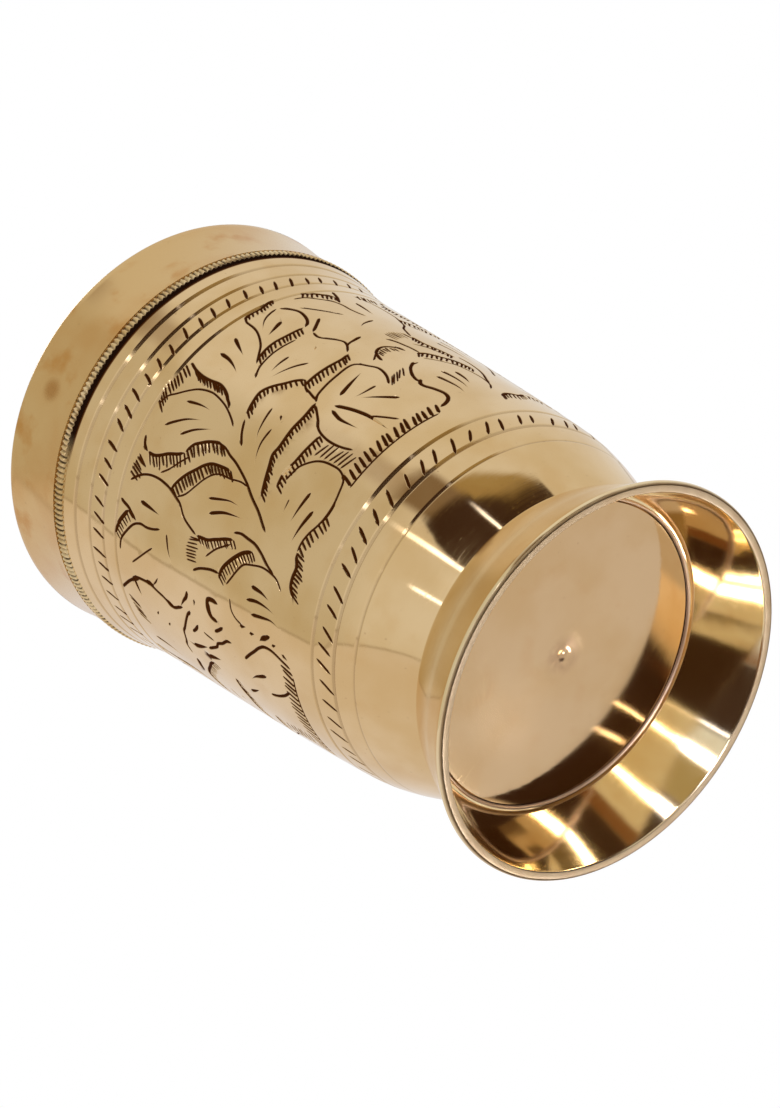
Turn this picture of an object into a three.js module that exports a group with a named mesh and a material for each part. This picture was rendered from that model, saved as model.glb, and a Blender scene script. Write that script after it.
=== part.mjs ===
// Footed brass tumbler: a spun barrel with an applied mouth band and a milled bead,
// closed by a turned base disc and standing on a flared foot that is soldered on.
// Millimetres, +Z up, origin on the table under the middle of the foot.
import * as THREE from 'three';

// Turned pieces are faceted around the axis; curves are sampled along their length.
const FACETS = 64;
const CURVE_STEPS = 5;

// Radial solder gap between pieces that sleeve into or over each other.
const SOLDER_GAP = 0.3;

// Foot: a cone with an even wall, a collar at its top and a lip above the standing ring.
const FOOT_HEIGHT = 14.1;
const FOOT_WALL = 1.6;
const RECESS_MOUTH_RADIUS = 31.8;
const RIM_WIDTH = 1.8;
const RIM_INNER_ROUND = 0.4;
const RIM_OUTER_ROUND = 0.5;
const LIP_HEIGHT = 0.9;
const FOOT_WAIST_HEIGHT = 2.6;
const FOOT_FLARE_HEIGHT = 7.0;
const COLLAR_STEP = 0.3;
const LEDGE_WIDTH = 0.6;

// Base disc, let into the foot's collar under the neck, with a shallow lathe centre below.
const DISC_INSET = 0.9;
const DISC_THICKNESS = 1.9;
const DISC_EDGE_CHAMFER = 0.25;
const CENTRE_MARK_RADIUS = 1.5;
const CENTRE_MARK_DEPTH = 0.35;

// Solder ring that bridges the seam between the base disc and the foot.
const SEAM_OVER_DISC = 0.25;
const SEAM_OVER_FOOT = 0.3;
const SEAM_HEIGHT = 0.5;

// Body: outside radii and the rises between its stations, from the neck upwards.
const WALL = 1.2;
const NECK_RADIUS = 27.0;
const SHOULDER_RISE = 19.1;
const SHOULDER_RADIUS = 32.75;
const BARREL_RISE = 53.8;
const BARREL_TOP_RADIUS = 35.35;
const FLARE_RISE = 12.6;
const FLARE_RADIUS = 36.9;
const FLARE_EDGE_CHAMFER = 0.3;

// Outward run per unit of rise where the body's stretches meet.
const NECK_SLOPE = 0.4;
const SHOULDER_SLOPE = 0.08;
const BARREL_TOP_SLOPE = 0.04;
const FLARE_SLOPE = 0.2;
const MOUTH_BORE_SLOPE = 0.0;

// Rebate turned around the mouth for the bead and the band.
const REBATE_DEPTH = 0.7;
const REBATE_WALL = 0.9;

// Milled bead and mouth band, both sleeved over the rebate.
const BEAD_HEIGHT = 2.4;
const BEAD_WIDTH = 1.0;
const MILLING_COUNT = 240;
const MILLING_DEPTH = 0.3;
const BAND_HEIGHT = 13.0;
const BAND_WALL = 0.8;
const BAND_HOLLOW = 0.3;
const BAND_FLARE = 0.6;
const BAND_LIP_THICKNESS = 1.2;
const BAND_LIP_ROUND = 0.5;

// Heights that follow from the driving dimensions.
const neckHeight = FOOT_HEIGHT;
const shoulderHeight = neckHeight + SHOULDER_RISE;
const barrelTopHeight = shoulderHeight + BARREL_RISE;
const rebateHeight = barrelTopHeight + FLARE_RISE;
const bandFootHeight = rebateHeight + BEAD_HEIGHT;
const mouthHeight = bandFootHeight + BAND_HEIGHT;
const wallTopHeight = mouthHeight - BAND_LIP_THICKNESS;
const discUndersideHeight = neckHeight - DISC_THICKNESS;

// Radii shared by pieces that fit each other.
const discRadius = NECK_RADIUS - DISC_INSET;
const collarBore = discRadius + SOLDER_GAP;
const recessTopRadius = collarBore + LEDGE_WIDTH;
const rimRadius = RECESS_MOUTH_RADIUS + RIM_WIDTH;
const rebateRadius = FLARE_RADIUS - REBATE_DEPTH;
const mouthBore = rebateRadius - REBATE_WALL;
const sleeveBore = rebateRadius + SOLDER_GAP;
const beadRadius = sleeveBore + BEAD_WIDTH;
const bandFootRadius = sleeveBore + BAND_WALL;
const bandLipRadius = bandFootRadius + BAND_FLARE;

const point = (radius, height) => new THREE.Vector2(radius, height);

// Sampled curve without its last point, so that the next stretch starts there.
function sampled(curve) {
  return curve.getPoints(CURVE_STEPS).slice(0, -1);
}

// Cubic stretch that leaves and arrives at the given slopes, with handles a third of its rise.
function bend(start, startSlope, end, endSlope) {
  const handle = (end.y - start.y) / 3;
  const leave = point(start.x + handle * startSlope, start.y + handle);
  const arrive = point(end.x - handle * endSlope, end.y - handle);
  return new THREE.CubicBezierCurve(start, leave, arrive, end);
}

const brass = (color, roughness) => new THREE.MeshStandardMaterial({ color, roughness, metalness: 1.0 });

// One closed outline, listed anticlockwise (outwards at the bottom, upwards on the outside), turned about Z.
function turned(name, outline, material) {
  const closed = outline[0].x === 0 ? outline : [...outline, outline[0].clone()];
  const geometry = new THREE.LatheGeometry(closed, FACETS);
  geometry.rotateX(Math.PI / 2);
  const mesh = new THREE.Mesh(geometry, material);
  mesh.name = name;
  return mesh;
}

// Flared foot: collar, conical recess and a lip that turns out above the standing ring.
function footRing() {
  const recessMouth = point(RECESS_MOUTH_RADIUS, RIM_INNER_ROUND);
  const recessTop = point(recessTopRadius, discUndersideHeight);
  const onWall = (height) => {
    const share = (height - recessMouth.y) / (recessTop.y - recessMouth.y);
    return point(THREE.MathUtils.lerp(recessMouth.x, recessTop.x, share) + FOOT_WALL, height);
  };
  const lip = point(rimRadius, LIP_HEIGHT);
  const rimEdge = point(rimRadius - RIM_OUTER_ROUND, 0);
  const lipRound = new THREE.QuadraticBezierCurve(rimEdge, point(rimRadius, 0), lip);
  const top = point(NECK_RADIUS + COLLAR_STEP, FOOT_HEIGHT);
  const outside = new THREE.SplineCurve([lip, onWall(FOOT_WAIST_HEIGHT), onWall(FOOT_FLARE_HEIGHT), top]);
  return turned('foot_ring', [
    point(RECESS_MOUTH_RADIUS + RIM_INNER_ROUND, 0),
    ...sampled(lipRound),
    ...outside.getPoints(2 * CURVE_STEPS),
    point(collarBore, FOOT_HEIGHT),
    point(collarBore, discUndersideHeight),
    recessTop,
    recessMouth,
  ], brass(0xc9a468, 0.16));
}

// Turned disc that closes the barrel; its top carries the inner edge of the wall.
function baseDisc() {
  const under = discUndersideHeight;
  return turned('base_disc', [
    point(0, under + CENTRE_MARK_DEPTH),
    point(CENTRE_MARK_RADIUS, under),
    point(discRadius - DISC_EDGE_CHAMFER, under),
    point(discRadius, under + DISC_EDGE_CHAMFER),
    point(discRadius, neckHeight),
    point(0, neckHeight),
  ], brass(0xcbab78, 0.2));
}

// Half-round run of solder under the seam, flat against the disc and the foot's ledge.
function baseSolder() {
  const inner = discRadius - SEAM_OVER_DISC;
  const outer = collarBore + SEAM_OVER_FOOT;
  const top = discUndersideHeight;
  const belly = new THREE.QuadraticBezierCurve(
    point(inner, top),
    point((inner + outer) / 2, top - 2 * SEAM_HEIGHT),
    point(outer, top),
  );
  return turned('base_solder', belly.getPoints(CURVE_STEPS), brass(0xd2b692, 0.3));
}

// Spun barrel: shoulder, slow taper, flare, then the rebate that carries the bead and the band.
function bodyWall() {
  const neck = point(NECK_RADIUS, neckHeight);
  const shoulder = point(SHOULDER_RADIUS, shoulderHeight);
  const barrelTop = point(BARREL_TOP_RADIUS, barrelTopHeight);
  const flare = point(FLARE_RADIUS, rebateHeight - FLARE_EDGE_CHAMFER);
  const stretches = (inset, flareEnd, flareEndSlope) => {
    const [low, middle, high] = [neck, shoulder, barrelTop].map((station) => point(station.x - inset, station.y));
    return [
      ...sampled(bend(low, NECK_SLOPE, middle, SHOULDER_SLOPE)),
      ...sampled(bend(middle, SHOULDER_SLOPE, high, BARREL_TOP_SLOPE)),
      ...bend(high, BARREL_TOP_SLOPE, flareEnd, flareEndSlope).getPoints(CURVE_STEPS),
    ];
  };
  return turned('body_wall', [
    ...stretches(0, flare, FLARE_SLOPE),
    point(FLARE_RADIUS - FLARE_EDGE_CHAMFER, rebateHeight),
    point(rebateRadius, rebateHeight),
    point(rebateRadius, wallTopHeight),
    point(mouthBore, wallTopHeight),
    ...stretches(WALL, point(mouthBore, rebateHeight), MOUTH_BORE_SLOPE).reverse(),
  ], brass(0xcdb287, 0.2));
}

// Bead under the band, milled with upright notches all the way round.
function milledBead() {
  const ring = new THREE.Shape();
  const root = beadRadius - MILLING_DEPTH;
  for (let notch = 0; notch < MILLING_COUNT; notch += 1) {
    const tipAngle = (2 * Math.PI * notch) / MILLING_COUNT;
    const rootAngle = (2 * Math.PI * (notch + 0.5)) / MILLING_COUNT;
    const tip = [beadRadius * Math.cos(tipAngle), beadRadius * Math.sin(tipAngle)];
    if (notch === 0) ring.moveTo(...tip);
    else ring.lineTo(...tip);
    ring.lineTo(root * Math.cos(rootAngle), root * Math.sin(rootAngle));
  }
  ring.closePath();
  const bore = new THREE.Path();
  bore.absarc(0, 0, sleeveBore, 0, 2 * Math.PI, true);
  ring.holes.push(bore);
  const geometry = new THREE.ExtrudeGeometry(ring, {
    depth: BEAD_HEIGHT,
    bevelEnabled: false,
    curveSegments: FACETS / 2,
  });
  const mesh = new THREE.Mesh(geometry, brass(0xbd9a5e, 0.3));
  mesh.name = 'milled_bead';
  mesh.position.z = rebateHeight;
  return mesh;
}

// Mouth band: a sleeve over the rebate whose lip turns in and covers the edge of the wall.
function lipBand() {
  const foot = point(bandFootRadius, bandFootHeight);
  const waist = point(bandFootRadius - BAND_HOLLOW, bandFootHeight + BAND_HEIGHT / 2);
  const lip = point(bandLipRadius, mouthHeight - BAND_LIP_ROUND);
  const outside = new THREE.QuadraticBezierCurve(foot, waist, lip);
  return turned('lip_band', [
    ...outside.getPoints(CURVE_STEPS),
    point(bandLipRadius - BAND_LIP_ROUND, mouthHeight),
    point(mouthBore + BAND_LIP_ROUND, mouthHeight),
    point(mouthBore, mouthHeight - BAND_LIP_ROUND),
    point(mouthBore, wallTopHeight),
    point(sleeveBore, wallTopHeight),
    point(sleeveBore, bandFootHeight),
  ], brass(0xc8a366, 0.22));
}

const tumbler = new THREE.Group();
tumbler.name = 'brass_tumbler';
tumbler.add(footRing(), baseDisc(), baseSolder(), bodyWall(), milledBead(), lipBand());

export default tumbler;
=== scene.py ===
import math
import random

import bmesh
import bpy
from mathutils import Matrix, Vector
from mathutils.geometry import delaunay_2d_cdt, interpolate_bezier


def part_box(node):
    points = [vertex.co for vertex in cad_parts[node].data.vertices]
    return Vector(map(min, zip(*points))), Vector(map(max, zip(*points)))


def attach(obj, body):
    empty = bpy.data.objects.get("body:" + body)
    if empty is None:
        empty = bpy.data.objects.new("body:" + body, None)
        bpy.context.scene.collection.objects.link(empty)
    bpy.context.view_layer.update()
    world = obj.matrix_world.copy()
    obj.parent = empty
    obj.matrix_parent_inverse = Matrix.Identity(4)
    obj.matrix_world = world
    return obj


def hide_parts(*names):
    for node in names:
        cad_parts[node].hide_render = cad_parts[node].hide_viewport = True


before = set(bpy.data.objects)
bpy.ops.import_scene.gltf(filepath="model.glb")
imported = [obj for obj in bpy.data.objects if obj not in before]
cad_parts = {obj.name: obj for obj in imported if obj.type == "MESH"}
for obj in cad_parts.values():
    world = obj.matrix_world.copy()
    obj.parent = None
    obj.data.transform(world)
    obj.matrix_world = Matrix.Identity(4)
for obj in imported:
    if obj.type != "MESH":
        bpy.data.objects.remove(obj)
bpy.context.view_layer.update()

# Foot: a ring of sheet brass spun to a flared cone, with a lip turned out above the table.
# Its collar is soldered under the neck, and its bright inside shows when the tumbler is tipped.
MM = 0.001
FACETS = 240
SHARP_ANGLE = math.radians(22)
LIP_HEIGHT = 0.9
LIP_ROUND_UNDER = 0.5
FLARE_KNOT = (30.7, 7.0)
RECESS_RADIUS = 31.8
RECESS_ROUND = 0.4
RECESS_ROOF = 12.2
RECESS_TOP_RADIUS = 27.0
COLLAR_BORE = 26.4
FOOT_TOP_RADIUS = 27.3
FOOT_BRIGHT = (0.84, 0.69, 0.44, 1)
FOOT_WARM = (0.79, 0.61, 0.34, 1)
# Dark colour of the wax in the cuts, also used for painted shade in the seam round the disc and under the
# bead.
DIRT_AND_SHADE = (0.078, 0.021, 0.003, 1)
RIM_DULL = (0.30, 0.17, 0.10, 1)
PIT_BROWN = (0.36, 0.22, 0.10, 1)


class Tone:
    """One output socket of the nodes being made; arithmetic on it adds Math nodes."""

    def __init__(self, tree, socket=None):
        self.tree = tree
        self.socket = socket

    def node(self, kind, settings=None, sockets=None, output=0):
        """A new node with its settings, then the values or links of its sockets."""
        made = self.tree.nodes.new(kind)
        for name, value in (settings or {}).items():
            setattr(made, name, value)
        for key, value in (sockets or {}).items():
            if isinstance(value, Tone):
                self.tree.links.new(value.socket, made.inputs[key])
            else:
                made.inputs[key].default_value = value
        return Tone(self.tree, made.outputs[output])

    def maths(self, operation, *values):
        return self.node("ShaderNodeMath", {"operation": operation}, dict(enumerate(values)))

    def __add__(self, other):
        return self.maths("ADD", self, other)

    def __radd__(self, other):
        return self.maths("ADD", other, self)

    def __sub__(self, other):
        return self.maths("SUBTRACT", self, other)

    def __rsub__(self, other):
        return self.maths("SUBTRACT", other, self)

    def __mul__(self, other):
        return self.maths("MULTIPLY", self, other)

    def __rmul__(self, other):
        return self.maths("MULTIPLY", other, self)

    def __neg__(self):
        return self.maths("MULTIPLY", self, -1.0)

    def rise(self, low, high):
        """Smooth mask that goes from 0 at low to 1 at high."""
        settings = {"interpolation_type": "SMOOTHSTEP"}
        return self.node("ShaderNodeMapRange", settings, {"Value": self, "From Min": low, "From Max": high})

    def between(self, colour, other):
        """Colour where this mask is 0, the other colour where it is 1."""
        sockets = {0: self, 6: colour, 7: other}
        return self.node("ShaderNodeMix", {"data_type": "RGBA"}, sockets, output=2)

    def noise(self, scale, detail=2.0):
        sockets = {"Vector": self, "Scale": scale, "Detail": detail}
        return self.node("ShaderNodeTexNoise", None, sockets)

    def part(self, axis):
        """The X, Y or Z of a vector."""
        return self.node("ShaderNodeSeparateXYZ", None, {0: self}, output=axis)

    def attribute(self, name):
        """A number that the mesh carries at its points."""
        return self.node("ShaderNodeAttribute", {"attribute_name": name}, output="Fac")


def brass(name, bright, warm, roughness, turning=1.0, staining=1.0, dirt_and_shade=None, grime_and_shade=DIRT_AND_SHADE, scuffs=None):
    """Polished brass: soft warm stains, rings left by the turning tool, hairlines and small pits.
    From the place, the radius and the height in millimetres, the function given for them makes the mask
    of dark fillings, tarnish, soiling and painted shade, in the colour given for them,
    and the scuffs function the added roughness of dulled places."""
    material = bpy.data.materials.new(name)
    material.use_nodes = True
    tree = material.node_tree
    shader = tree.nodes["Principled BSDF"]
    place = Tone(tree).node("ShaderNodeTexCoord", output="Object")
    place = place.node("ShaderNodeVectorMath", {"operation": "SCALE"}, {0: place, "Scale": 1 / MM})
    flat = place.node("ShaderNodeVectorMath", {"operation": "MULTIPLY"}, {0: place, 1: (1, 1, 0)})
    radius = flat.node("ShaderNodeVectorMath", {"operation": "LENGTH"}, {0: flat}, output="Value")
    height = place.part("Z")
    round_way = flat.node("ShaderNodeVectorMath", {"operation": "NORMALIZE"}, {0: flat})
    along = radius.node("ShaderNodeCombineXYZ", None, {"Z": (radius + height) * 3.0})
    rings_place = round_way.node("ShaderNodeVectorMath", {"operation": "ADD"}, {0: round_way, 1: along})
    rings = rings_place.noise(1.0, 4.0)
    cloud = place.noise(0.07, 3.0)
    stain = place.noise(0.16, 4.0).rise(0.52, 0.74) * staining
    hair_place = place.node("ShaderNodeMapping", None, {
        "Vector": place, "Rotation": (0.4, 0.9, 0.3), "Scale": (0.15, 2.4, 2.4)})
    hairs = hair_place.noise(1.0, 3.0).rise(0.62, 0.72)
    pits = place.noise(1.1, 2.0).rise(0.70, 0.78)
    worn = cloud.rise(0.35, 0.7).between(bright, warm)
    deep = (0.92 * warm[0], 0.80 * warm[1], 0.62 * warm[2], 1)
    stained = (stain * 0.7).between(worn, deep)
    pitted = (pits * 0.25).between(stained, PIT_BROWN)
    rough = roughness + (rings - 0.5) * (0.10 * turning) + stain * 0.03 + hairs * 0.03 + pits * 0.08
    shader.inputs["Metallic"].default_value = 1.0
    shader.inputs["Specular IOR Level"].default_value = 0.0
    if scuffs:
        rough = rough + scuffs(place, radius, height)
    if dirt_and_shade:
        dark = dirt_and_shade(place, radius, height)
        thick = dark * dark
        pitted = dark.between(pitted, grime_and_shade)
        rough = rough + thick * 0.4
        tree.links.new((1 - thick * 0.9).socket, shader.inputs["Metallic"])
    tree.links.new(pitted.socket, shader.inputs["Base Color"])
    tree.links.new(rough.socket, shader.inputs["Roughness"])
    relief = rings * turning + cloud * 12.0 + hairs * -0.25 + pits * -0.6
    bump = relief.node("ShaderNodeBump", None, {"Strength": 0.10, "Distance": 0.03 * MM, "Height": relief})
    tree.links.new(bump.socket, shader.inputs["Normal"])
    return material


def curved(start, leave, arrive, end, steps):
    """Points of a cubic curve in the (radius, height) plane, without its last one."""
    knots = [Vector(knot) for knot in (start, leave, arrive, end)]
    return [tuple(point) for point in interpolate_bezier(*knots, steps + 1)[:-1]]


def turned(outline, closed=True, steps=FACETS):
    """The outline, (radius, height) in millimetres, spun about the tumbler's axis."""
    shape = bmesh.new()
    ring = [shape.verts.new((0, -radius, height)) for radius, height in outline]
    ends = ring[1:] + ring[:1] if closed else ring[1:]
    for near, far in zip(ring, ends):
        shape.edges.new((near, far))
    bmesh.ops.spin(shape, geom=shape.verts[:] + shape.edges[:], cent=(0, 0, 0), axis=(0, 0, 1),
                   angle=2 * math.pi, steps=steps, use_merge=True)
    bmesh.ops.remove_doubles(shape, verts=shape.verts, dist=1e-4)
    bmesh.ops.recalc_face_normals(shape, faces=shape.faces)
    return shape


def fitted(shape, node, material):
    """The shape in metres as the piece that stands for a CAD node."""
    name = node + "_brass"
    bmesh.ops.scale(shape, vec=(MM, MM, MM), verts=shape.verts)
    mesh = bpy.data.meshes.new(name)
    shape.to_mesh(mesh)
    shape.free()
    mesh.shade_smooth()
    mesh.set_sharp_from_angle(angle=SHARP_ANGLE)
    mesh.materials.append(material)
    piece = bpy.data.objects.new(name, mesh)
    bpy.context.scene.collection.objects.link(piece)
    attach(piece, "root")
    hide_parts(node)
    return piece


foot_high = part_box("foot_ring")[1]
rim_radius = foot_high.x / MM
foot_height = foot_high.z / MM
foot_outline = [
    (RECESS_RADIUS + RECESS_ROUND, 0.0),
    *curved((rim_radius - LIP_ROUND_UNDER, 0.0), (rim_radius - 0.2, 0.0), (rim_radius, 0.3),
            (rim_radius, LIP_HEIGHT), 8),
    *curved((rim_radius, LIP_HEIGHT), (rim_radius - 0.4, 1.5), (31.5, 5.0), FLARE_KNOT, 10),
    *curved(FLARE_KNOT, (29.6, 9.8), (28.6, 12.6), (FOOT_TOP_RADIUS, foot_height), 10),
    (FOOT_TOP_RADIUS, foot_height),
    (COLLAR_BORE, foot_height),
    (COLLAR_BORE, RECESS_ROOF),
    *[(RECESS_TOP_RADIUS + share * (RECESS_RADIUS - RECESS_TOP_RADIUS),
       RECESS_ROOF + share * (RECESS_ROUND - RECESS_ROOF)) for share in (0.0, 0.2, 0.4, 0.6, 0.8)],
    *curved((RECESS_RADIUS, RECESS_ROUND), (RECESS_RADIUS + 0.1, 0.15), (RECESS_RADIUS + 0.15, 0.0),
            (RECESS_RADIUS + RECESS_ROUND, 0.0), 4),
]


def standing_ring(radius, height):
    """Mask of the ring that touches the table."""
    return radius.rise(31.7, 32.1) * (1 - height.rise(0.1, 0.6))


def rim_scuffs(place, radius, height):
    """The standing ring, roughened by the tables it has stood on."""
    return standing_ring(radius, height) * 0.10


def rim_tarnish(place, radius, height):
    """Brown tarnish on the standing ring."""
    return standing_ring(radius, height) * (0.42 + place.noise(0.3) * 0.3)


foot_brass = brass("foot_brass", FOOT_BRIGHT, FOOT_WARM, 0.08, turning=0.35, staining=0.4,
                   dirt_and_shade=rim_tarnish, grime_and_shade=RIM_DULL, scuffs=rim_scuffs)
fitted(turned(foot_outline), "foot_ring", foot_brass)

# Base disc: a turned plate of brass let into the foot's collar, closing the barrel.
# Its underside is faced with a slight swell and keeps the shallow mark of the lathe centre.
DISC_EDGE_CHAMFER = 0.25
CENTRE_MARK_RADIUS = 1.3
CENTRE_MARK_DEPTH = 0.16
DIMPLE_RADIUS = 4.4
DIMPLE_DEPTH = 0.26
DISC_DOME = 0.5
DISC_BRIGHT = (0.65, 0.45, 0.26, 1)
DISC_WARM = (0.61, 0.405, 0.21, 1)
CENTRE_TARNISH = (0.36, 0.19, 0.11, 1)
disc_low, disc_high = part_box("base_disc")
disc_radius = disc_high.x / MM
disc_under = disc_low.z / MM
disc_top = disc_high.z / MM


def dome(radius):
    """Height of the disc's underside, which swells towards its middle and has a dimple there."""
    dimple = DIMPLE_DEPTH * max(0.0, 1 - radius / DIMPLE_RADIUS)
    return disc_under - DISC_DOME * (1 - (radius / disc_radius) ** 2) + dimple


disc_outline = [
    (0.0, dome(0) + CENTRE_MARK_DEPTH),
    (0.4, dome(0) + CENTRE_MARK_DEPTH),
    (0.8, dome(0.8) + 0.6 * CENTRE_MARK_DEPTH),
    *[(radius, dome(radius)) for radius in (CENTRE_MARK_RADIUS, 1.8, 2.4, 3.2, 3.9, DIMPLE_RADIUS, 5)],
    *[(radius, dome(radius)) for radius in (6, 7, 9, 11, 13, 15, 17, 19, 21, 23, 25)],
    (disc_radius - DISC_EDGE_CHAMFER, disc_under),
    (disc_radius, disc_under + DISC_EDGE_CHAMFER),
    (disc_radius, disc_top),
    (0.0, disc_top),
]


def satin_faces(place, radius, height):
    """The bottom of the cup, left satin inside, and the duller middle of the underside."""
    return height.rise(disc_top - 0.2, disc_top - 0.1) * 0.3 + (1 - radius.rise(14, 22)) * 0.05


def centre_smear(place, radius, height):
    """Tarnish smeared round the mark of the lathe centre."""
    return (1 - radius.rise(1.5, 4.2)) * place.noise(0.45).rise(0.3, 0.6) * 0.4


disc_brass = brass("disc_brass", DISC_BRIGHT, DISC_WARM, 0.06, turning=0.6, staining=0.3,
                   dirt_and_shade=centre_smear, grime_and_shade=CENTRE_TARNISH, scuffs=satin_faces)
disc_shader = disc_brass.node_tree.nodes["Principled BSDF"]
disc_shader.inputs["Anisotropic"].default_value = 0.45
disc_shader.inputs["Anisotropic Rotation"].default_value = 0.25
fitted(turned(disc_outline, closed=False), "base_disc", disc_brass)

# Solder run: soft solder drawn into the seam between the disc and the foot.
# It set as a low half-round ring, paler and pinker than the brass.
SEAM_HEIGHT = 0.5
SEAM_OVER_DISC = 0.05
SOLDER_PALE = (0.78, 0.58, 0.43, 1)
SOLDER_DULL = (0.66, 0.46, 0.31, 1)
solder_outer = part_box("base_solder")[1].x / MM
solder_inner = disc_radius - SEAM_OVER_DISC
solder_outline = [
    *curved((solder_inner, RECESS_ROOF), (solder_inner + 0.1, RECESS_ROOF - 1.3 * SEAM_HEIGHT),
            (solder_outer - 0.1, RECESS_ROOF - 1.3 * SEAM_HEIGHT), (solder_outer, RECESS_ROOF), 8),
    (solder_outer, RECESS_ROOF),
]


def seam_shade(place, radius, height):
    """A dark line painted along the disc's edge as painted shade of the gap in the seam."""
    return (1 - radius.rise(26.1, 26.25)) * 0.6


solder_metal = brass("solder_run", SOLDER_PALE, SOLDER_DULL, 0.42, turning=0.5, staining=1.0, dirt_and_shade=seam_shade)
fitted(turned(solder_outline), "base_solder", solder_metal)

# Barrel: sheet brass spun over a former, with a rounded shoulder, a slow taper and a flared mouth.
# A rebate is turned round the mouth for the bead and the band.
WALL = 1.2
NECK_RADIUS = 27.0
SHOULDER_HEIGHT = 33.2
SHOULDER_RADIUS = 32.75
BARREL_TOP_HEIGHT = 87.0
BARREL_TOP_RADIUS = 35.35
FLARE_EDGE = 0.3
REBATE_DEPTH = 0.7
REBATE_WALL = 0.9
BORE_HEIGHT = 3
NECK_SLOPE = 0.4
SHOULDER_SLOPE = 0.08
BARREL_TOP_SLOPE = 0.04
FLARE_SLOPE = 0.2
PANEL_FOOT = 21.0
PANEL_TOP = 97.6
BODY_BRIGHT = (0.77, 0.565, 0.315, 1)
BODY_WARM = (0.69, 0.475, 0.225, 1)
body_low, body_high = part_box("body_wall")
neck_height = body_low.z / MM
wall_top = body_high.z / MM
flare_radius = body_high.x / MM
rebate_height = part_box("milled_bead")[0].z / MM
rebate_radius = flare_radius - REBATE_DEPTH
mouth_bore = rebate_radius - REBATE_WALL
stations = [
    (neck_height, NECK_RADIUS, NECK_SLOPE),
    (SHOULDER_HEIGHT, SHOULDER_RADIUS, SHOULDER_SLOPE),
    (BARREL_TOP_HEIGHT, BARREL_TOP_RADIUS, BARREL_TOP_SLOPE),
    (rebate_height - FLARE_EDGE, flare_radius, FLARE_SLOPE),
]


def wall_radius(height):
    """Outside radius of the barrel at a height, a cubic between its stations."""
    for (low, near, leave), (high, far, arrive) in zip(stations, stations[1:]):
        if height <= high:
            break
    rise = high - low
    share = (height - low) / rise
    rest = 1 - share
    return (near * rest ** 2 * (1 + 2 * share) + far * share ** 2 * (1 + 2 * rest)
            + rise * share * rest * (leave * rest - arrive * share))


def stepped(low, high, steps):
    """Even steps from one value to another, with both ends."""
    return [low + (high - low) * step / steps for step in range(steps + 1)]


body_outline = [
    *[(wall_radius(height), height) for height in stepped(PANEL_TOP, rebate_height - FLARE_EDGE, 3)],
    (flare_radius - FLARE_EDGE, rebate_height),
    (rebate_radius, rebate_height),
    (rebate_radius, wall_top),
    (mouth_bore, wall_top),
    (mouth_bore, rebate_height),
    *[(min(wall_radius(height) - WALL, mouth_bore), height)
      for height in stepped(rebate_height - BORE_HEIGHT, neck_height, 40)],
    *[(wall_radius(height), height) for height in stepped(neck_height, PANEL_FOOT, 12)],
]
body = turned(body_outline, closed=False)

# Engraving: leaf scrolls and flowers, cut four times round the barrel by hand with a V-shaped graver.
# Slanted nicks fill the borders above and below, lines turned on the lathe frame them,
# and dark wax lies in the graver's cuts.
ARC_RADIUS = 35.0
ROUND = 2 * math.pi * ARC_RADIUS
FIELD_FOOT = 38.5
SCROLL_DRAWN = 56.2
SCROLL_STARTS = (-24.5, 31.7, 85.7, 139.2)
THIN = 0.56
BOLD = 0.7
COMB = 0.64
VEIN = 0.75
TICK = 0.82
FINENESS = 0.86
GRAVER_SLOPE = 0.75
GRAVER_DEPTH = 0.32
BARE_REACH = 1.3
LINE_DARKENING = 0.035
hand = random.Random(11)
# The strokes, as rows of (arc, height, half width), and the places where the wax has come out.
cuts = []
bare = []


def flowing(points, step=0.5):
    """Points of a smooth curve through the given ones."""
    knots = [points[0], *points, points[-1]]
    path = []
    for before, near, far, after in zip(knots, knots[1:], knots[2:], knots[3:]):
        steps = max(2, round(math.dist(near, far) / step))
        for count in range(steps):
            t = count / steps
            path.append(tuple(
                0.5 * (2 * b + (c - a) * t + (2 * a - 5 * b + 4 * c - d) * t ** 2
                       + (3 * b - a - 3 * c + d) * t ** 3)
                for a, b, c, d in zip(before, near, far, after)))
    return [*path, tuple(points[-1])]


def stroke(points, width, lead, tail):
    """A cut along a curve that widens over its lead and runs out over its tail, in millimetres."""
    path = flowing(points)
    runs = [0.0]
    for near, far in zip(path, path[1:]):
        runs.append(runs[-1] + math.dist(near, far))
    fit = min(1.0, runs[-1] / (lead + tail))
    shares = [min(1.0, run / (lead * fit), (runs[-1] - run) / (tail * fit)) for run in runs]
    halves = [FINENESS * width / 2 * math.sin(share * math.pi / 2) for share in shares]
    cuts.append([(*point, half) for point, half in zip(path, halves)])


def line(points, width=THIN):
    """A cut of even width."""
    stroke(points, width, 0.6, 1.0)


def vein(points, width=VEIN):
    """A cut that starts blunt and thins along its whole length."""
    stroke(points, width, 0.9, 7.0)


def nicks(points, length, heading, pitch=0.8, width=COMB):
    """A comb of short cuts that start on a curve and all head one way, in degrees from the arc."""
    path = flowing(points, 0.1)
    due = pitch / 2
    for near, far in zip(path, path[1:]):
        due -= math.dist(near, far)
        if due > 0:
            continue
        due += pitch * hand.uniform(0.85, 1.15)
        turn = math.radians(heading + hand.uniform(-6, 6))
        reach = length * hand.uniform(1.0, 1.3)
        spine = [(far[0] + share * reach * math.cos(turn), far[1] + share * reach * math.sin(turn))
                 for share in (-0.08, 0.12, 0.6, 0.9, 1.0)]
        halves = (0.0, 0.5, 0.5, 0.36, 0.0)
        cuts.append([(*point, FINENESS * width * half) for point, half in zip(spine, halves)])


def edge(points, length, heading, width=0.85, **comb):
    """A leaf's edge: a line with a comb of nicks along it."""
    line(points, width)
    nicks(points, length, heading, **comb)


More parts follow.
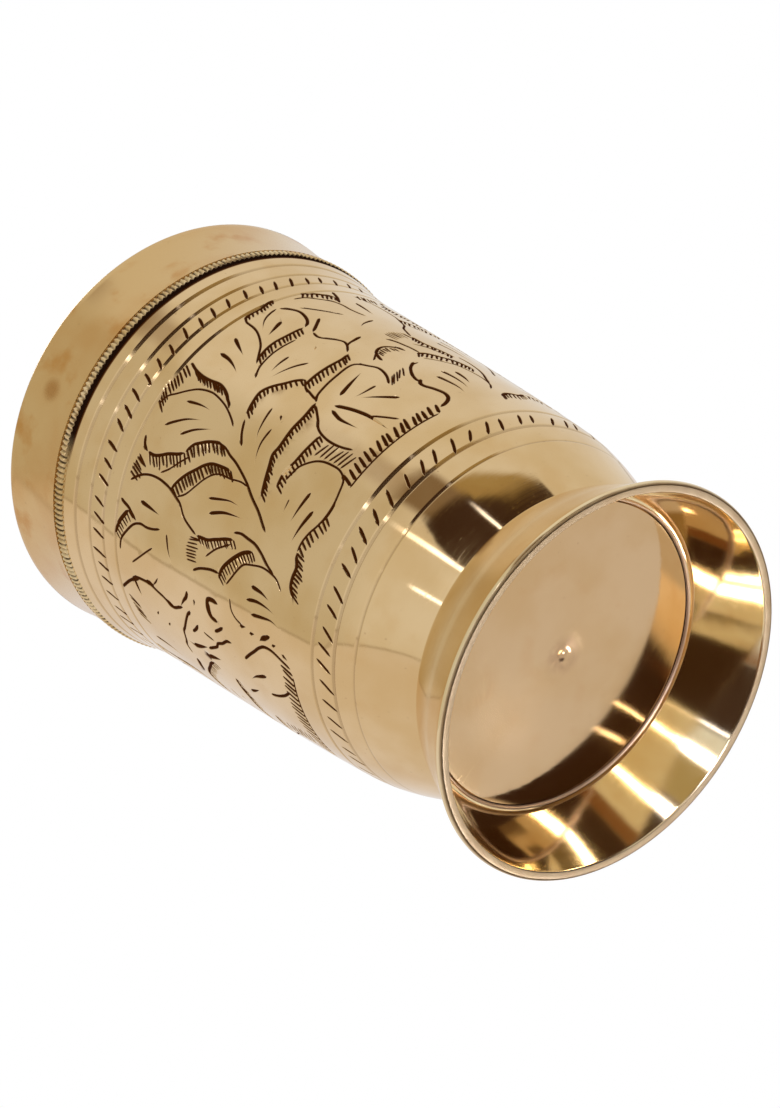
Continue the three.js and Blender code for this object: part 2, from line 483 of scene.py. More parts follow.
def leaves(at):
    """The left part of a repeat: hanging leaves, the tall leaf, the curled leaf and the ground."""
    # Two pointed leaves hang from the top edge at the left.
    line(at((-1.1, 46.1), (0.9, 45.8), (2.7, 44.6), (4.8, 42.7), (5.6, 40.8), (5.7, 39.0), (6.1, 37.2),
            (6.7, 35.5)), BOLD)
    edge(at((1.4, 47.4), (3.6, 46.6), (5.3, 45.6), (6.8, 44.3)), 1.6, -125, 1.1)
    line(at((7.9, 46.9), (7.6, 45.8), (7.1, 44.4), (6.4, 43.3), (5.7, 41.9)), 0.9)
    vein(at((9.3, 41.8), (9.2, 39.0), (8.8, 36.0)), 1.0)
    line(at((-2.2, 42.9), (-0.2, 40.6), (1.2, 38.9), (2.9, 36.9)), 0.55)
    vein(at((6.7, 33.7), (3.9, 32.7), (2.2, 31.6)))
    line(at((11.6, 45.6), (12.7, 44.1), (13.6, 42.7), (14.2, 40.9), (14.3, 38.7), (14.2, 36.6), (13.9, 35.3),
            (13.0, 33.1), (12.5, 32.0), (10.9, 30.2), (9.9, 28.0), (9.3, 26.3)), BOLD)
    nicks(at((12.6, 46.1), (14.5, 45.8), (16.6, 45.3)), 2.5, -115, pitch=0.68)

    # A tall leaf leans left from the stem, its left side shaded by a comb.
    line(at((19.6, 45.8), (18.0, 44.9), (17.3, 43.6)), 0.9)
    edge(at((17.3, 43.6), (17.3, 42.0), (17.8, 40.6), (18.8, 39.0), (19.6, 36.8), (20.4, 35.5)), 2.1, -140)
    edge(at((20.4, 35.4), (22.1, 34.6), (23.0, 33.4), (23.9, 31.9), (24.6, 29.6), (24.5, 28.4)), 2.2, -130)
    line(at((15.3, 39.1), (16.8, 37.2), (18.6, 35.5), (20.4, 33.8)))
    line(at((24.6, 29.6), (24.5, 27.8), (23.9, 26.1), (23.3, 24.0), (22.4, 21.6), (21.2, 19.3), (19.8, 16.9),
            (18.3, 14.3), (16.8, 12.2), (16.0, 11.0)), BOLD)

    # Its right side, three veins, and the shaded fold behind it.
    line(at((25.0, 46.6), (26.7, 46.0), (27.9, 44.4), (29.4, 42.6), (30.4, 40.8), (31.0, 38.6), (31.0, 36.5),
            (30.3, 33.3), (29.0, 30.4), (28.0, 28.8)), 0.6)
    vein(at((22.4, 43.0), (23.9, 41.1), (25.3, 38.7), (26.4, 35.6)))
    vein(at((27.7, 41.5), (28.2, 39.0), (28.4, 36.9), (28.4, 35.2)))
    vein(at((22.4, 38.6), (24.2, 36.4), (25.1, 34.5), (26.0, 32.4)))
    line(at((33.6, 46.5), (32.9, 44.4), (32.6, 42.2), (32.7, 40.1), (32.9, 37.6), (32.4, 35.4), (31.5, 34.0),
            (30.7, 32.4)), 0.8)
    nicks(at((33.2, 45.2), (32.6, 42.2), (32.8, 39.0), (32.7, 36.0), (31.6, 34.1)), 2.0, -125, pitch=0.75)
    nicks(at((25.2, 47.0), (28.0, 47.6), (30.5, 47.2), (33.3, 46.9)), 2.4, -120, pitch=0.75)

    # A leaf left of the stem, with a shaded band over its top and a comb down its left side.
    edge(at((9.3, 26.3), (9.6, 23.6), (10.3, 21.9), (10.9, 20.8), (11.5, 19.3), (12.1, 17.4)), 1.5, -135)
    line(at((6.8, 23.2), (8.9, 21.2), (10.0, 19.6), (11.3, 17.6)))
    edge(at((13.9, 35.3), (15.6, 34.4), (17.4, 33.0), (18.9, 31.4), (20.1, 30.2), (21.1, 28.7), (21.5, 26.6),
            (21.7, 24.2)), 2.1, -125, pitch=0.75)
    line(at((13.3, 33.4), (14.5, 31.6), (16.2, 30.2), (18.3, 28.7), (19.8, 27.2), (20.4, 25.5), (20.6, 23.4),
            (21.1, 20.8), (20.9, 18.9)))
    vein(at((13.8, 24.9), (15.1, 21.9), (15.6, 19.6), (15.9, 16.9)), 0.9)
    vein(at((16.0, 26.2), (17.3, 21.9), (17.4, 20.2), (17.4, 18.4)))
    nicks(at((4.2, 27.6), (6.5, 28.3), (9.0, 27.6)), 2.6, -80, pitch=0.6, width=0.5)

    # A smaller banded leaf below it.
    line(at((3.2, 26.0), (4.2, 24.4), (4.8, 22.8), (5.3, 21.0), (5.4, 19.0)), 0.75)
    edge(at((4.6, 19.2), (6.5, 18.7), (8.3, 17.4), (10.0, 15.8), (11.2, 14.3), (12.0, 12.4)), 1.7, -130, 1.0)
    line(at((4.3, 17.2), (5.9, 16.2), (7.7, 15.0), (9.2, 13.7), (10.0, 11.6), (10.5, 9.6), (10.5, 7.5),
            (9.9, 5.5), (8.4, 3.9)), 0.6)
    line(at((13.2, 18.0), (13.7, 16.3), (13.6, 14.3), (13.3, 12.2), (12.4, 10.2), (11.2, 8.1),
            (10.4, 6.4)), 0.75)

    # A round leaf at the lower left corner.
    line(at((2.5, 16.0), (0.4, 15.5), (-0.8, 14.3), (-1.4, 12.4)), 0.6)
    vein(at((1.7, 10.5), (2.4, 7.5), (2.6, 5.2), (2.1, 3.2)), 0.9)
    vein(at((3.9, 11.9), (4.5, 9.3), (4.5, 6.6), (4.0, 4.4)), 0.9)
    vein(at((6.6, 11.1), (6.4, 8.4), (5.8, 6.2)), 1.05)

    # A round leaf beside the stem, shaded along its top and along its foot.
    edge(at((31.0, 28.3), (33.3, 29.1), (35.4, 29.4), (37.2, 28.5), (39.0, 26.9), (40.4, 25.8), (41.6, 24.3)),
         1.5, -120, 0.9)
    line(at((26.0, 24.8), (27.9, 26.5), (30.3, 27.9)), 0.75)
    vein(at((34.3, 24.8), (32.2, 24.4), (29.5, 23.6), (27.8, 22.6)), 0.7)
    vein(at((31.3, 21.7), (28.6, 21.7), (26.5, 21.1), (24.7, 20.1)), 0.7)
    vein(at((34.0, 22.2), (33.0, 21.2)))
    edge(at((20.8, 15.2), (23.0, 16.1), (25.8, 17.2), (27.6, 18.0), (29.4, 17.8), (32.9, 18.1), (35.8, 18.1),
            (39.0, 18.6)), 1.4, -115, 0.95, pitch=0.75)

    # A curled leaf at the foot of the stem.
    edge(at((23.2, 13.2), (26.1, 13.6), (28.3, 13.1), (31.1, 12.8), (34.6, 12.4)), 1.6, -115)
    line(at((25.0, 12.5), (26.6, 12.1), (28.3, 11.5), (30.1, 9.9), (31.0, 8.3), (31.3, 6.1), (31.1, 4.0),
            (30.1, 2.2), (27.9, 1.4), (25.9, 0.9), (23.6, 1.0), (21.5, 1.6), (19.8, 2.4), (18.0, 3.0),
            (15.9, 3.2)), 0.65)
    vein(at((25.7, 6.3), (22.4, 6.8), (19.4, 7.1)), 0.9)
    vein(at((23.3, 3.8), (19.8, 4.7), (16.6, 5.2)), 1.0)
    vein(at((22.9, 9.6), (20.2, 9.4)), 0.5)
    nicks(at((31.0, 11.0), (31.4, 8.3), (31.6, 6.1), (31.5, 4.0)), 3.0, -15, pitch=1.0)

    bare.extend(at((17.6, 7.0), (26.6, 14.0)))

    # The ground along the lower edge of the field.
    edge(at((8.6, 1.0), (10.1, 2.1), (11.8, 2.3), (13.6, 2.1), (15.1, 2.8), (15.9, 3.2)), 1.9, -110, 1.0)
    nicks(at((16.4, 3.2), (18.0, 3.0), (19.8, 2.4), (21.5, 1.6), (23.6, 1.0)), 1.9, -120, pitch=1.0)
    line(at((22.4, 1.1), (24.2, 0.8), (26.5, 0.9)), 0.9)
    line(at((29.5, 0.2), (40.0, 0.2), (50.5, 0.3)))
    nicks(at((29.3, 0.4), (34.0, 0.4), (40.0, 0.4), (50.8, 0.5)), 2.5, 68, pitch=1.25, width=0.9)


def flower(at):
    """The right part of a repeat: a blunt leaf, two lobed leaves, the flower and a bud."""
    # The blunt leaf.
    vein(at((37.6, 43.2), (37.5, 40.8), (36.9, 38.6), (36.0, 36.6)), 0.95)
    vein(at((41.3, 43.8), (40.4, 41.5), (39.3, 38.7)), 0.95)
    line(at((45.5, 46.5), (45.1, 45.4), (44.9, 42.9), (44.2, 40.8), (42.7, 38.3), (41.1, 36.7),
            (39.2, 35.1)), 0.65)
    edge(at((45.3, 46.3), (46.9, 46.9), (49.0, 46.9), (50.4, 47.4), (52.3, 47.9)), 1.3, -115, 0.95)

    # The upper lobed leaf points right.
    vein(at((51.0, 45.0), (49.0, 44.4), (47.2, 43.3), (45.4, 41.3)), 0.7)
    vein(at((49.0, 41.0), (46.9, 40.1), (44.9, 39.3)), 1.1)
    line(at((51.3, 44.8), (52.4, 43.6), (53.2, 42.0), (53.2, 40.6), (52.7, 39.0), (51.9, 37.6),
            (50.6, 36.6)), 0.85)
    edge(at((40.2, 35.9), (42.6, 36.7), (44.7, 36.9), (47.2, 36.7), (50.6, 36.7)), 1.8, -115)
    line(at((54.5, 37.8), (52.6, 36.0), (50.7, 34.4)), 0.85)

    # The lower lobed leaf.
    line(at((37.0, 32.7), (39.0, 34.0), (41.9, 34.7), (44.6, 34.8), (47.5, 34.6)), 0.65)
    vein(at((43.7, 31.7), (41.5, 31.7), (39.2, 31.4)))
    vein(at((44.7, 27.4), (42.6, 28.8), (40.1, 29.9), (38.2, 30.4)))
    vein(at((48.4, 30.6), (47.1, 29.4)))
    line(at((50.7, 34.4), (50.4, 32.6), (51.1, 31.1), (52.2, 29.5), (52.6, 28.2), (52.1, 26.8),
            (50.8, 25.2)), BOLD)
    vein(at((56.1, 28.4), (54.4, 27.9), (52.6, 27.3), (50.9, 25.6)), 0.95)
    edge(at((40.2, 23.5), (43.3, 23.9), (46.0, 24.1), (48.8, 24.1), (50.8, 24.6)), 2.0, -115, 0.9)

    # The flower: three petals with a vein each.
    line(at((40.3, 23.4), (40.0, 21.6), (39.7, 20.4), (39.3, 18.7)), BOLD)
    line(at((38.6, 18.2), (36.5, 15.4), (35.4, 14.0), (34.7, 12.4), (34.4, 10.2), (34.6, 7.5),
            (35.4, 4.8)), BOLD)
    vein(at((39.3, 14.9), (38.7, 12.2), (38.8, 9.7), (39.0, 7.5)), 0.95)
    vein(at((40.3, 15.4), (41.1, 12.9), (41.7, 10.8), (42.0, 8.3), (41.9, 5.4), (41.8, 3.2)), 1.0)
    line(at((42.2, 8.2), (43.5, 5.8), (44.8, 3.6)), BOLD)
    vein(at((48.6, 8.2), (46.1, 11.1), (43.9, 13.4)), 1.0)
    vein(at((48.0, 13.8), (45.4, 13.8), (43.4, 14.1)))
    line(at((39.0, 18.6), (40.1, 19.7), (42.6, 20.4), (45.4, 21.0), (48.3, 21.5), (49.7, 21.1), (50.8, 19.4),
            (51.5, 17.6), (51.1, 15.1), (49.7, 12.6)), 0.75)
    vein(at((42.3, 16.4), (45.8, 17.6), (48.9, 18.6)), 1.1)
    nicks(at((51.4, 14.2), (53.2, 15.0), (55.2, 15.6)), 2.8, -125, width=0.55)
    line(at((57.8, 16.4), (55.8, 14.7), (54.4, 12.2), (54.0, 10.0)), 0.85)
    line(at((54.9, 10.8), (53.9, 9.6), (53.8, 8.4), (54.5, 6.9), (55.1, 4.7), (54.7, 3.3), (53.3, 2.2),
            (51.5, 1.6)), 1.0)

    bare.extend(at((41.8, 6.2), (46.9, 30.0)))

    # A bud that fills the space before the next repeat.
    line(at((53.6, 19.2), (53.9, 20.6), (54.6, 22.2), (55.9, 23.2), (57.2, 23.3), (58.8, 22.2),
            (59.4, 20.4)), 0.85)
    line(at((52.4, 20.2), (53.6, 21.2), (54.6, 22.4)), 0.6)
    nicks(at((54.6, 21.6), (55.6, 22.6), (57.0, 22.8), (58.4, 22.0)), 1.4, -90, pitch=0.68, width=THIN)


def other_flower(at):
    """The same part as it was cut in every second repeat, bolder and with a dark bud."""
    # A long leaf edge with thick turns, and the veins beside it.
    line(at((47.1, 47.4), (48.2, 46.2), (49.6, 44.6), (50.5, 43.4), (51.4, 41.9), (51.7, 40.2), (51.8, 38.1),
            (51.2, 36.1), (50.8, 34.6), (50.2, 33.1), (49.9, 31.9), (50.5, 30.5), (51.2, 29.0)), 0.85)
    line(at((50.3, 43.5), (51.0, 42.4), (51.6, 41.0)), 1.3)
    line(at((51.8, 39.2), (51.9, 38.0), (51.7, 36.8)), 1.3)
    line(at((50.6, 33.8), (50.1, 32.6), (49.9, 31.4)), 1.4)
    vein(at((50.6, 42.7), (49.3, 42.1), (47.7, 41.3)), 1.1)
    line(at((52.0, 37.2), (52.9, 36.4), (54.2, 35.5)), 0.55)
    nicks(at((42.2, 44.6), (44.5, 45.4), (46.7, 46.0)), 2.5, -120)
    vein(at((45.6, 38.0), (46.7, 37.1)))
    vein(at((44.5, 35.3), (45.5, 34.4)))
    vein(at((37.6, 43.2), (37.5, 40.8), (36.9, 38.6), (36.0, 36.6)), 0.95)

    # The lobe below it, with short thick cuts between its lines.
    line(at((35.5, 31.1), (37.5, 30.8), (39.3, 30.3)), 1.4)
    line(at((40.2, 30.9), (42.0, 31.5), (43.4, 31.0), (45.5, 30.6), (46.7, 29.9), (48.4, 29.0), (50.2, 28.0),
            (51.4, 27.0)), 0.8)
    vein(at((55.0, 27.3), (53.7, 27.8), (52.6, 28.7), (50.8, 29.9)), 1.05)
    vein(at((43.3, 28.7), (44.0, 26.9), (44.6, 25.5), (45.2, 24.0)), 1.4)
    vein(at((42.7, 24.8), (43.2, 23.4), (43.8, 21.0)), 1.4)
    line(at((46.9, 27.7), (47.9, 26.5), (49.4, 25.3)), 0.9)
    vein(at((50.2, 27.9), (51.2, 26.8)), 0.95)
    vein(at((54.4, 25.5), (52.9, 25.7)), 0.85)

    # The flower's petals and the comb beside them.
    line(at((44.9, 24.0), (46.7, 21.1), (47.6, 20.6), (48.4, 19.0), (49.5, 17.5), (49.8, 16.0)), 0.85)
    line(at((48.4, 24.2), (48.1, 22.8), (47.8, 21.2)), 0.65)
    line(at((50.1, 20.7), (51.1, 19.3), (52.1, 18.0)), 0.95)
    edge(at((36.0, 18.4), (38.4, 18.8), (40.6, 19.0)), 1.2, -115, 1.0)
    vein(at((39.5, 15.4), (40.5, 13.7), (41.5, 12.0)), 1.0)
    vein(at((46.8, 8.0), (45.8, 9.9), (44.9, 11.6), (43.6, 13.2)), 1.0)
    line(at((42.5, 8.5), (43.4, 6.1), (44.6, 4.0), (46.2, 2.3)), 0.85)
    line(at((48.0, 13.2), (49.6, 11.6), (51.1, 10.0), (52.3, 8.7), (53.1, 7.2), (53.3, 5.2), (52.5, 2.8),
            (51.6, 0.6)), 0.85)
    vein(at((54.2, 11.0), (54.6, 9.4)), 1.0)
    vein(at((55.2, 6.6), (54.6, 7.6), (53.8, 8.4)), 1.4)
    line(at((54.6, 7.4), (55.4, 6.4), (56.0, 5.4)), 1.2)
    vein(at((54.3, 5.2), (54.9, 4.0)), 0.9)
    vein(at((53.8, 2.8), (53.1, 1.2)), 1.0)
    vein(at((54.5, 13.4), (55.0, 11.6)), 0.95)

    # The bud, cut thick and dark.
    line(at((52.6, 19.3), (52.7, 20.6), (53.2, 21.5), (54.4, 22.0), (55.8, 21.7), (56.2, 20.4),
            (56.1, 18.9)), 1.2)
    line(at((53.0, 21.0), (54.2, 21.6), (55.4, 21.4)), 1.3)


def slanted_border(foot, top, count, lean):
    """Slanted nicks all round between two heights."""
    for number in range(count):
        middle = ROUND * (number + hand.uniform(-0.16, 0.16)) / count
        tilt = lean * hand.uniform(0.8, 1.2)
        low = foot + hand.uniform(-0.35, 0.35)
        high = top + hand.uniform(-0.35, 0.45)
        bow = (middle + 0.1, (low + high) / 2)
        stroke([(middle - tilt, low), bow, (middle + tilt, high)], TICK, 1.0, 0.8)


scroll_ends = [*SCROLL_STARTS[1:], SCROLL_STARTS[0] + ROUND]
for number, (start, end) in enumerate(zip(SCROLL_STARTS, scroll_ends)):
    def repeat(*points):
        """Places on the wall of points in millimetres from the repeat's lower left corner."""
        return [(start + along * (end - start) / SCROLL_DRAWN + hand.uniform(-0.06, 0.06),
                 FIELD_FOOT + up + hand.uniform(-0.06, 0.06)) for along, up in points]

    leaves(repeat)
    if number % 2:
        other_flower(repeat)
    else:
        flower(repeat)
slanted_border(89.1, 92.2, 70, 0.7)
slanted_border(29.2, 32.3, 61, 0.95)
# Middle, width and slope of each line turned on the lathe.
turned_lines = [
    (96.4, 0.9, 0.27), (92.8, 0.8, 0.31), (89.2, 0.8, 0.35), (85.7, 0.8, 0.38),
    (33.5, 0.9, 0.31), (28.8, 0.9, 0.16), (24.9, 0.7, 0.075),
]

# The net that the cut wall is made of, and the strokes near each square millimetre of it.
points = []
links = []
nearby = {}


def chain(path):
    """Points joined in a row, which the net of triangles keeps as edges."""
    first = len(points)
    points.extend(path)
    links.extend((index, index + 1) for index in range(first, len(points) - 1))


def inlay(cut):
    """The two lips and the bottom of a V-shaped cut, and its place in the index of cuts."""
    lips = []
    for before, here, after in zip([cut[0], *cut], cut, [*cut[1:], cut[-1]]):
        way = (Vector(after[:2]) - Vector(before[:2])).normalized()
        lips.append(here[2] * Vector((-way.y, way.x)))
    spine = [Vector(knot[:2]) for knot in cut]
    chain(spine)
    chain([knot + lip for knot, lip in zip(spine, lips)])
    chain([knot - lip for knot, lip in zip(spine, lips)])
    for near, far in zip(cut, cut[1:]):
        margin = max(near[2], far[2])
        columns, rows = [range(math.floor(min(pair) - margin), math.floor(max(pair) + margin) + 1)
                         for pair in ((near[0], far[0]), (near[1], far[1]))]
        for cell in ((column, row) for column in columns for row in rows):
            nearby.setdefault(cell, []).append((Vector(near), Vector(far)))


def lathe_depth(height):
    """Depth of the turned lines: each has a wide wall that faces down and a narrow one that faces up."""
    depths = [min(slope * (0.75 * width - height + middle), 3 * slope * (0.25 * width + height - middle))
              for middle, width, slope in turned_lines]
    return max(0.0, *depths)


def graver_depth(place):
    """Depth of the hand-cut strokes at a place on the wall."""
    deepest = 0.0
    for near, far in nearby.get((math.floor(place.x), math.floor(place.y)), ()):
        way = far.xy - near.xy
        reached = min(1.0, max(0.0, (place - near.xy).dot(way) / way.length_squared))
        middle = near.lerp(far, reached)
        deepest = max(deepest, middle.z - (place - middle.xy).length)
    return min(GRAVER_DEPTH, GRAVER_SLOPE * deepest)


for cut in cuts:
    for shift in (-ROUND, 0.0, ROUND):
        moved = [(along + shift, up, half) for along, up, half in cut]
        if max(knot[0] for knot in moved) > -1 and min(knot[0] for knot in moved) < ROUND + 1:
            inlay(moved)
columns = stepped(0.0, ROUND, FACETS)
for middle, width, slope in turned_lines:
    for share in (-0.32, -0.25, -0.18, -0.06, 0.0, 0.06, 0.4, 0.7, 0.75, 0.82):
        chain([Vector((along, middle + share * width)) for along in columns])
chain([Vector((along, PANEL_FOOT)) for along in columns])
chain([Vector((along, PANEL_TOP)) for along in columns])
panel_rows = stepped(PANEL_FOOT, PANEL_TOP, 38)
for side in (0.0, ROUND):
    chain([Vector((side, height)) for height in panel_rows])
for number, height in enumerate(panel_rows[1:-1]):
    points.extend(Vector((along, height)) for along in columns[1 + number % 2:-1:2])

net = delaunay_2d_cdt(points, links, [], 0, 1e-4)
wax_layer = body.verts.layers.float.new("wax_depth")
inside_layer = body.verts.layers.float.new("inside")
for vert in body.verts:
    vert[inside_layer] = float(vert.co.xy.length < wall_radius(vert.co.z) - WALL / 2)
wall_points = []
for place in net[0]:
    wax_depth = graver_depth(place)
    line_depth = lathe_depth(place.y)
    turn = place.x / ARC_RADIUS
    out = wall_radius(place.y) - max(wax_depth, line_depth)
    vert = body.verts.new((out * math.sin(turn), -out * math.cos(turn), place.y))
    worn = any(math.dist(place, (spot[0] % ROUND, spot[1])) < BARE_REACH for spot in bare)
    # The turned lines are darkened a little in their bottoms, through the same layer as the cuts' wax.
    vert[wax_layer] = 0.0 if worn else max(wax_depth, min(line_depth, LINE_DARKENING))
    wall_points.append(vert)
for face in net[2]:
    middle = sum((net[0][index] for index in face), Vector((0, 0))) / len(face)
    if 0 < middle.x < ROUND:
        body.faces.new([wall_points[index] for index in face])
bmesh.ops.delete(body, geom=[vert for vert in wall_points if not vert.link_faces], context="VERTS")
bmesh.ops.remove_doubles(body, verts=body.verts, dist=1e-3)
bmesh.ops.recalc_face_normals(body, faces=body.faces)


def groove_shade_stretch(place):
    """Mask of the stretch where the groove under the bead is painted black, a painted shade."""
    return place.part("X").rise(-18.0, -11.0)


def wax_and_groove_shade(place, radius, height):
    """The cuts' dark filling, slight darkening of the turned lines, and painted shade in the groove under the
    bead.
    """
    filled = radius.attribute("wax_depth").rise(0.003, 0.10)
    # Painted shade: the top of the flare is blackened in the groove under the bead.
    under_bead = height.rise(rebate_height - 0.75, rebate_height - 0.5)
    groove = under_bead * radius.rise(rebate_radius - 0.5, rebate_radius)
    return filled.maths("MAXIMUM", filled, groove * groove_shade_stretch(place))


def satin_inside(place, radius, height):
    """The inside of the barrel, left satin by the spinning."""
    return radius.attribute("inside") * 0.3


body_brass = brass("engraved_brass", BODY_BRIGHT, BODY_WARM, 0.065, turning=0.5, staining=0.3, dirt_and_shade=wax_and_groove_shade,
                   scuffs=satin_inside)
fitted(body, "body_wall", body_brass)

# Bead: a brass wire soldered into the rebate round the mouth and milled with upright notches.
# Dirt has gathered in the notches, and most of the groove under them is painted black, a painted shade.
BEAD_NOTCHES = 240
NOTCH_DEPTH = 0.3
SLEEVE_GAP = 0.3
BEAD_UNDERCUT = 0.75
BEAD_BRIGHT = (0.80, 0.62, 0.36, 1)
BEAD_WARM = (0.62, 0.42, 0.18, 1)
# Black of the painted shade in the groove under the bead; it also colours the dirt in the notches.
GROOVE_BLACK = (0.022, 0.008, 0.004, 1)
bead_low, bead_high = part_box("milled_bead")
bead_radius = bead_high.x / MM
sleeve_bore = rebate_radius + SLEEVE_GAP
bead_foot = bead_low.z / MM
bead_top = bead_high.z / MM
bead_outline = [
    (sleeve_bore, bead_foot),
    (bead_radius - BEAD_UNDERCUT, bead_foot),
    (bead_radius - BEAD_UNDERCUT, bead_foot + 0.45),
    *curved((bead_radius - 0.5, bead_foot + 0.5), (bead_radius, bead_foot + 0.7),
            (bead_radius, bead_top - 0.2), (bead_radius - 0.4, bead_top), 8),
    (bead_radius - 0.4, bead_top),
    (sleeve_bore, bead_top),
]
bead = turned(bead_outline, steps=2 * BEAD_NOTCHES)
notch_layer = bead.verts.layers.float.new("notch")
for vert in bead.verts:
    turn = math.atan2(vert.co.x, -vert.co.y) * BEAD_NOTCHES / math.pi
    if round(turn) % 2 and vert.co.xy.length > bead_radius - 0.6 and vert.co.z < bead_top - 0.01:
        vert.co.xy *= 1 - NOTCH_DEPTH / bead_radius
        vert[notch_layer] = 1.0


def notch_dirt_and_groove_shade(place, radius, height):
    """Dirt at the bottom of the notches, and painted shade that blackens the groove under them."""
    notch = radius.attribute("notch").rise(0.3, 0.9)
    notch = notch * (0.35 + place.noise(0.5, 3.0).rise(0.35, 0.65) * 0.6)
    # Painted shade: the lower part of the bead is blackened along one stretch of the groove.
    groove = (1 - height.rise(bead_foot + 0.65, bead_foot + 0.85)) * groove_shade_stretch(place)
    return notch.maths("MAXIMUM", notch, groove)


bead_brass = brass("milled_brass", BEAD_BRIGHT, BEAD_WARM, 0.2, dirt_and_shade=notch_dirt_and_groove_shade, grime_and_shade=GROOVE_BLACK)
fitted(bead, "milled_bead", bead_brass)

# Band: a plain sleeve of brass, slightly hollow outside, soldered over the rebate above the bead.
# Its rolled lip covers the edge of the wall, and a spot of old lacquer has browned on its front.
BAND_WALL = 0.8
LIP_THICKNESS = 1.2
LIP_ROUND = 0.5
LIP_SPARE = 0.001
BAND_BRIGHT = (0.67, 0.455, 0.205, 1)
BAND_WARM = (0.62, 0.37, 0.14, 1)
LACQUER = (0.36, 0.15, 0.025, 1)
LACQUER_PLACE = (-7.0, -36.5, 109.0)
band_low, band_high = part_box("lip_band")
# The lip stays a little inside the box of the CAD's band, so that rounding can't carry it out.
lip_radius = band_high.x / MM - LIP_SPARE
mouth_height = band_high.z / MM
band_foot = band_low.z / MM
band_foot_radius = sleeve_bore + BAND_WALL
band_outline = [
    *curved((band_foot_radius, band_foot), (band_foot_radius - 0.2, band_foot + 4.2),
            (band_foot_radius, mouth_height - 4.6), (lip_radius, mouth_height - LIP_ROUND), 14),
    *curved((lip_radius, mouth_height - LIP_ROUND), (lip_radius, mouth_height - 0.2),
            (lip_radius - 0.2, mouth_height), (lip_radius - LIP_ROUND, mouth_height), 5),
    *curved((mouth_bore + LIP_ROUND, mouth_height), (mouth_bore + 0.2, mouth_height),
            (mouth_bore, mouth_height - 0.2), (mouth_bore, mouth_height - LIP_ROUND), 5),
    (mouth_bore, mouth_height - LIP_ROUND),
    (mouth_bore, mouth_height - LIP_THICKNESS),
    (sleeve_bore, mouth_height - LIP_THICKNESS),
    (sleeve_bore, band_foot),
]


def lacquer_spot(place, radius, height):
    """A round brown spot of old lacquer on the band's front."""
    sockets = {0: place, 1: LACQUER_PLACE}
    aside = place.node("ShaderNodeVectorMath", {"operation": "DISTANCE"}, sockets, output="Value")
    return (1 - aside.rise(0.7, 2.7)) * 0.6


band_brass = brass("band_brass", BAND_BRIGHT, BAND_WARM, 0.16, staining=1.3, dirt_and_shade=lacquer_spot, grime_and_shade=LACQUER)
fitted(turned(band_outline), "lip_band", band_brass)

# Stage: a pale floor that shows from above only, open under the foot, in a white studio tent
# with a soft lamp overhead. The polished metal mirrors the tent's dark gaps, its warm patches
# and its strip lights, most of which lie near the horizon or below it.
FLOOR_RADIUS = 3.0
FLOOR_HOLE = 33.1
FLOOR_DROP = 0.02
FLOOR_FADE = (0.10, 0.45)
FLOOR_SIDES = 96
FLOOR_PALE = (0.86, 0.86, 0.85, 1)
WHITE = (1, 1, 1, 1)
TENT_PALE = (0.85, 0.84, 0.82, 1)
TENT_SHADE = (0.70, 0.675, 0.60, 1)
TENT_BROWN = (0.21, 0.17, 0.13, 1)
TENT_DARK = (0.060, 0.033, 0.021, 1)
TENT_OCHRE = (0.44, 0.33, 0.15, 1)
TENT_UMBER = (0.28, 0.21, 0.14, 1)
TENT_TAN = (0.58, 0.53, 0.48, 1)
TENT_RUST = (0.27, 0.14, 0.07, 1)
TENT_GLOW = (1.3, 1.2, 1.05, 1)
TENT_SIDE = (0.84, 0.81, 0.81, 1)
TENT_POLE = (0.58, 0.54, 0.48, 1)
SIDE_WALL_WAY = (-0.629, 0.618, -0.471)
STRIP_LIGHT = (3.4, 3.5, 4.1, 1)
LOW_STRIP_LIGHT = (16.0, 16.5, 19.0, 1)
LAMP_PLACE = (0.06, 0.18, 1.3)
LAMP_AIM = (0, 0, 0.05)
LAMP_SIZE = 0.4
LAMP_POWER = 2.0
scene = bpy.context.scene
scene.view_settings.view_transform = "Standard"

floor_shape = bmesh.new()
for floor_edge in (FLOOR_RADIUS, FLOOR_HOLE * MM):
    bmesh.ops.create_circle(floor_shape, segments=FLOOR_SIDES, radius=floor_edge)
bmesh.ops.bridge_loops(floor_shape, edges=floor_shape.edges[:])
for face in floor_shape.faces:
    face.normal_update()
    if face.normal.z < 0:
        face.normal_flip()
bmesh.ops.translate(floor_shape, verts=floor_shape.verts, vec=(0, 0, -FLOOR_DROP * MM))
floor_mesh = bpy.data.meshes.new("floor")
floor_shape.to_mesh(floor_mesh)
floor_shape.free()
floor = bpy.data.objects.new("floor", floor_mesh)
scene.collection.objects.link(floor)
floor_paint = bpy.data.materials.new("floor_paint")
floor_paint.use_nodes = True
floor_tree = floor_paint.node_tree
floor_tree.nodes["Principled BSDF"].inputs["Base Color"].default_value = FLOOR_PALE
floor_tree.nodes["Principled BSDF"].inputs["Roughness"].default_value = 0.8
paint = Tone(floor_tree, floor_tree.nodes["Principled BSDF"].outputs[0])
under = paint.node("ShaderNodeNewGeometry", output="Backfacing")
clear = paint.node("ShaderNodeBsdfTransparent")
far_place = paint.node("ShaderNodeTexCoord", output="Object")
far_off = far_place.node("ShaderNodeVectorMath", {"operation": "LENGTH"}, {0: far_place}, output="Value")
seen = paint.node("ShaderNodeLightPath", output="Is Camera Ray")
mirrored = paint.node("ShaderNodeLightPath", output="Is Glossy Ray")
glow = paint.node("ShaderNodeEmission", None, {"Color": WHITE, "Strength": 1.0})
fade = far_off.rise(*FLOOR_FADE) * seen.maths("MAXIMUM", seen, mirrored)
top_side = fade.node("ShaderNodeMixShader", None, {0: fade, 1: paint, 2: glow})
both_sides = under.node("ShaderNodeMixShader", None, {0: under, 1: top_side, 2: clear})
floor_tree.links.new(both_sides.socket, floor_tree.nodes["Material Output"].inputs["Surface"])
floor_mesh.materials.append(floor_paint)

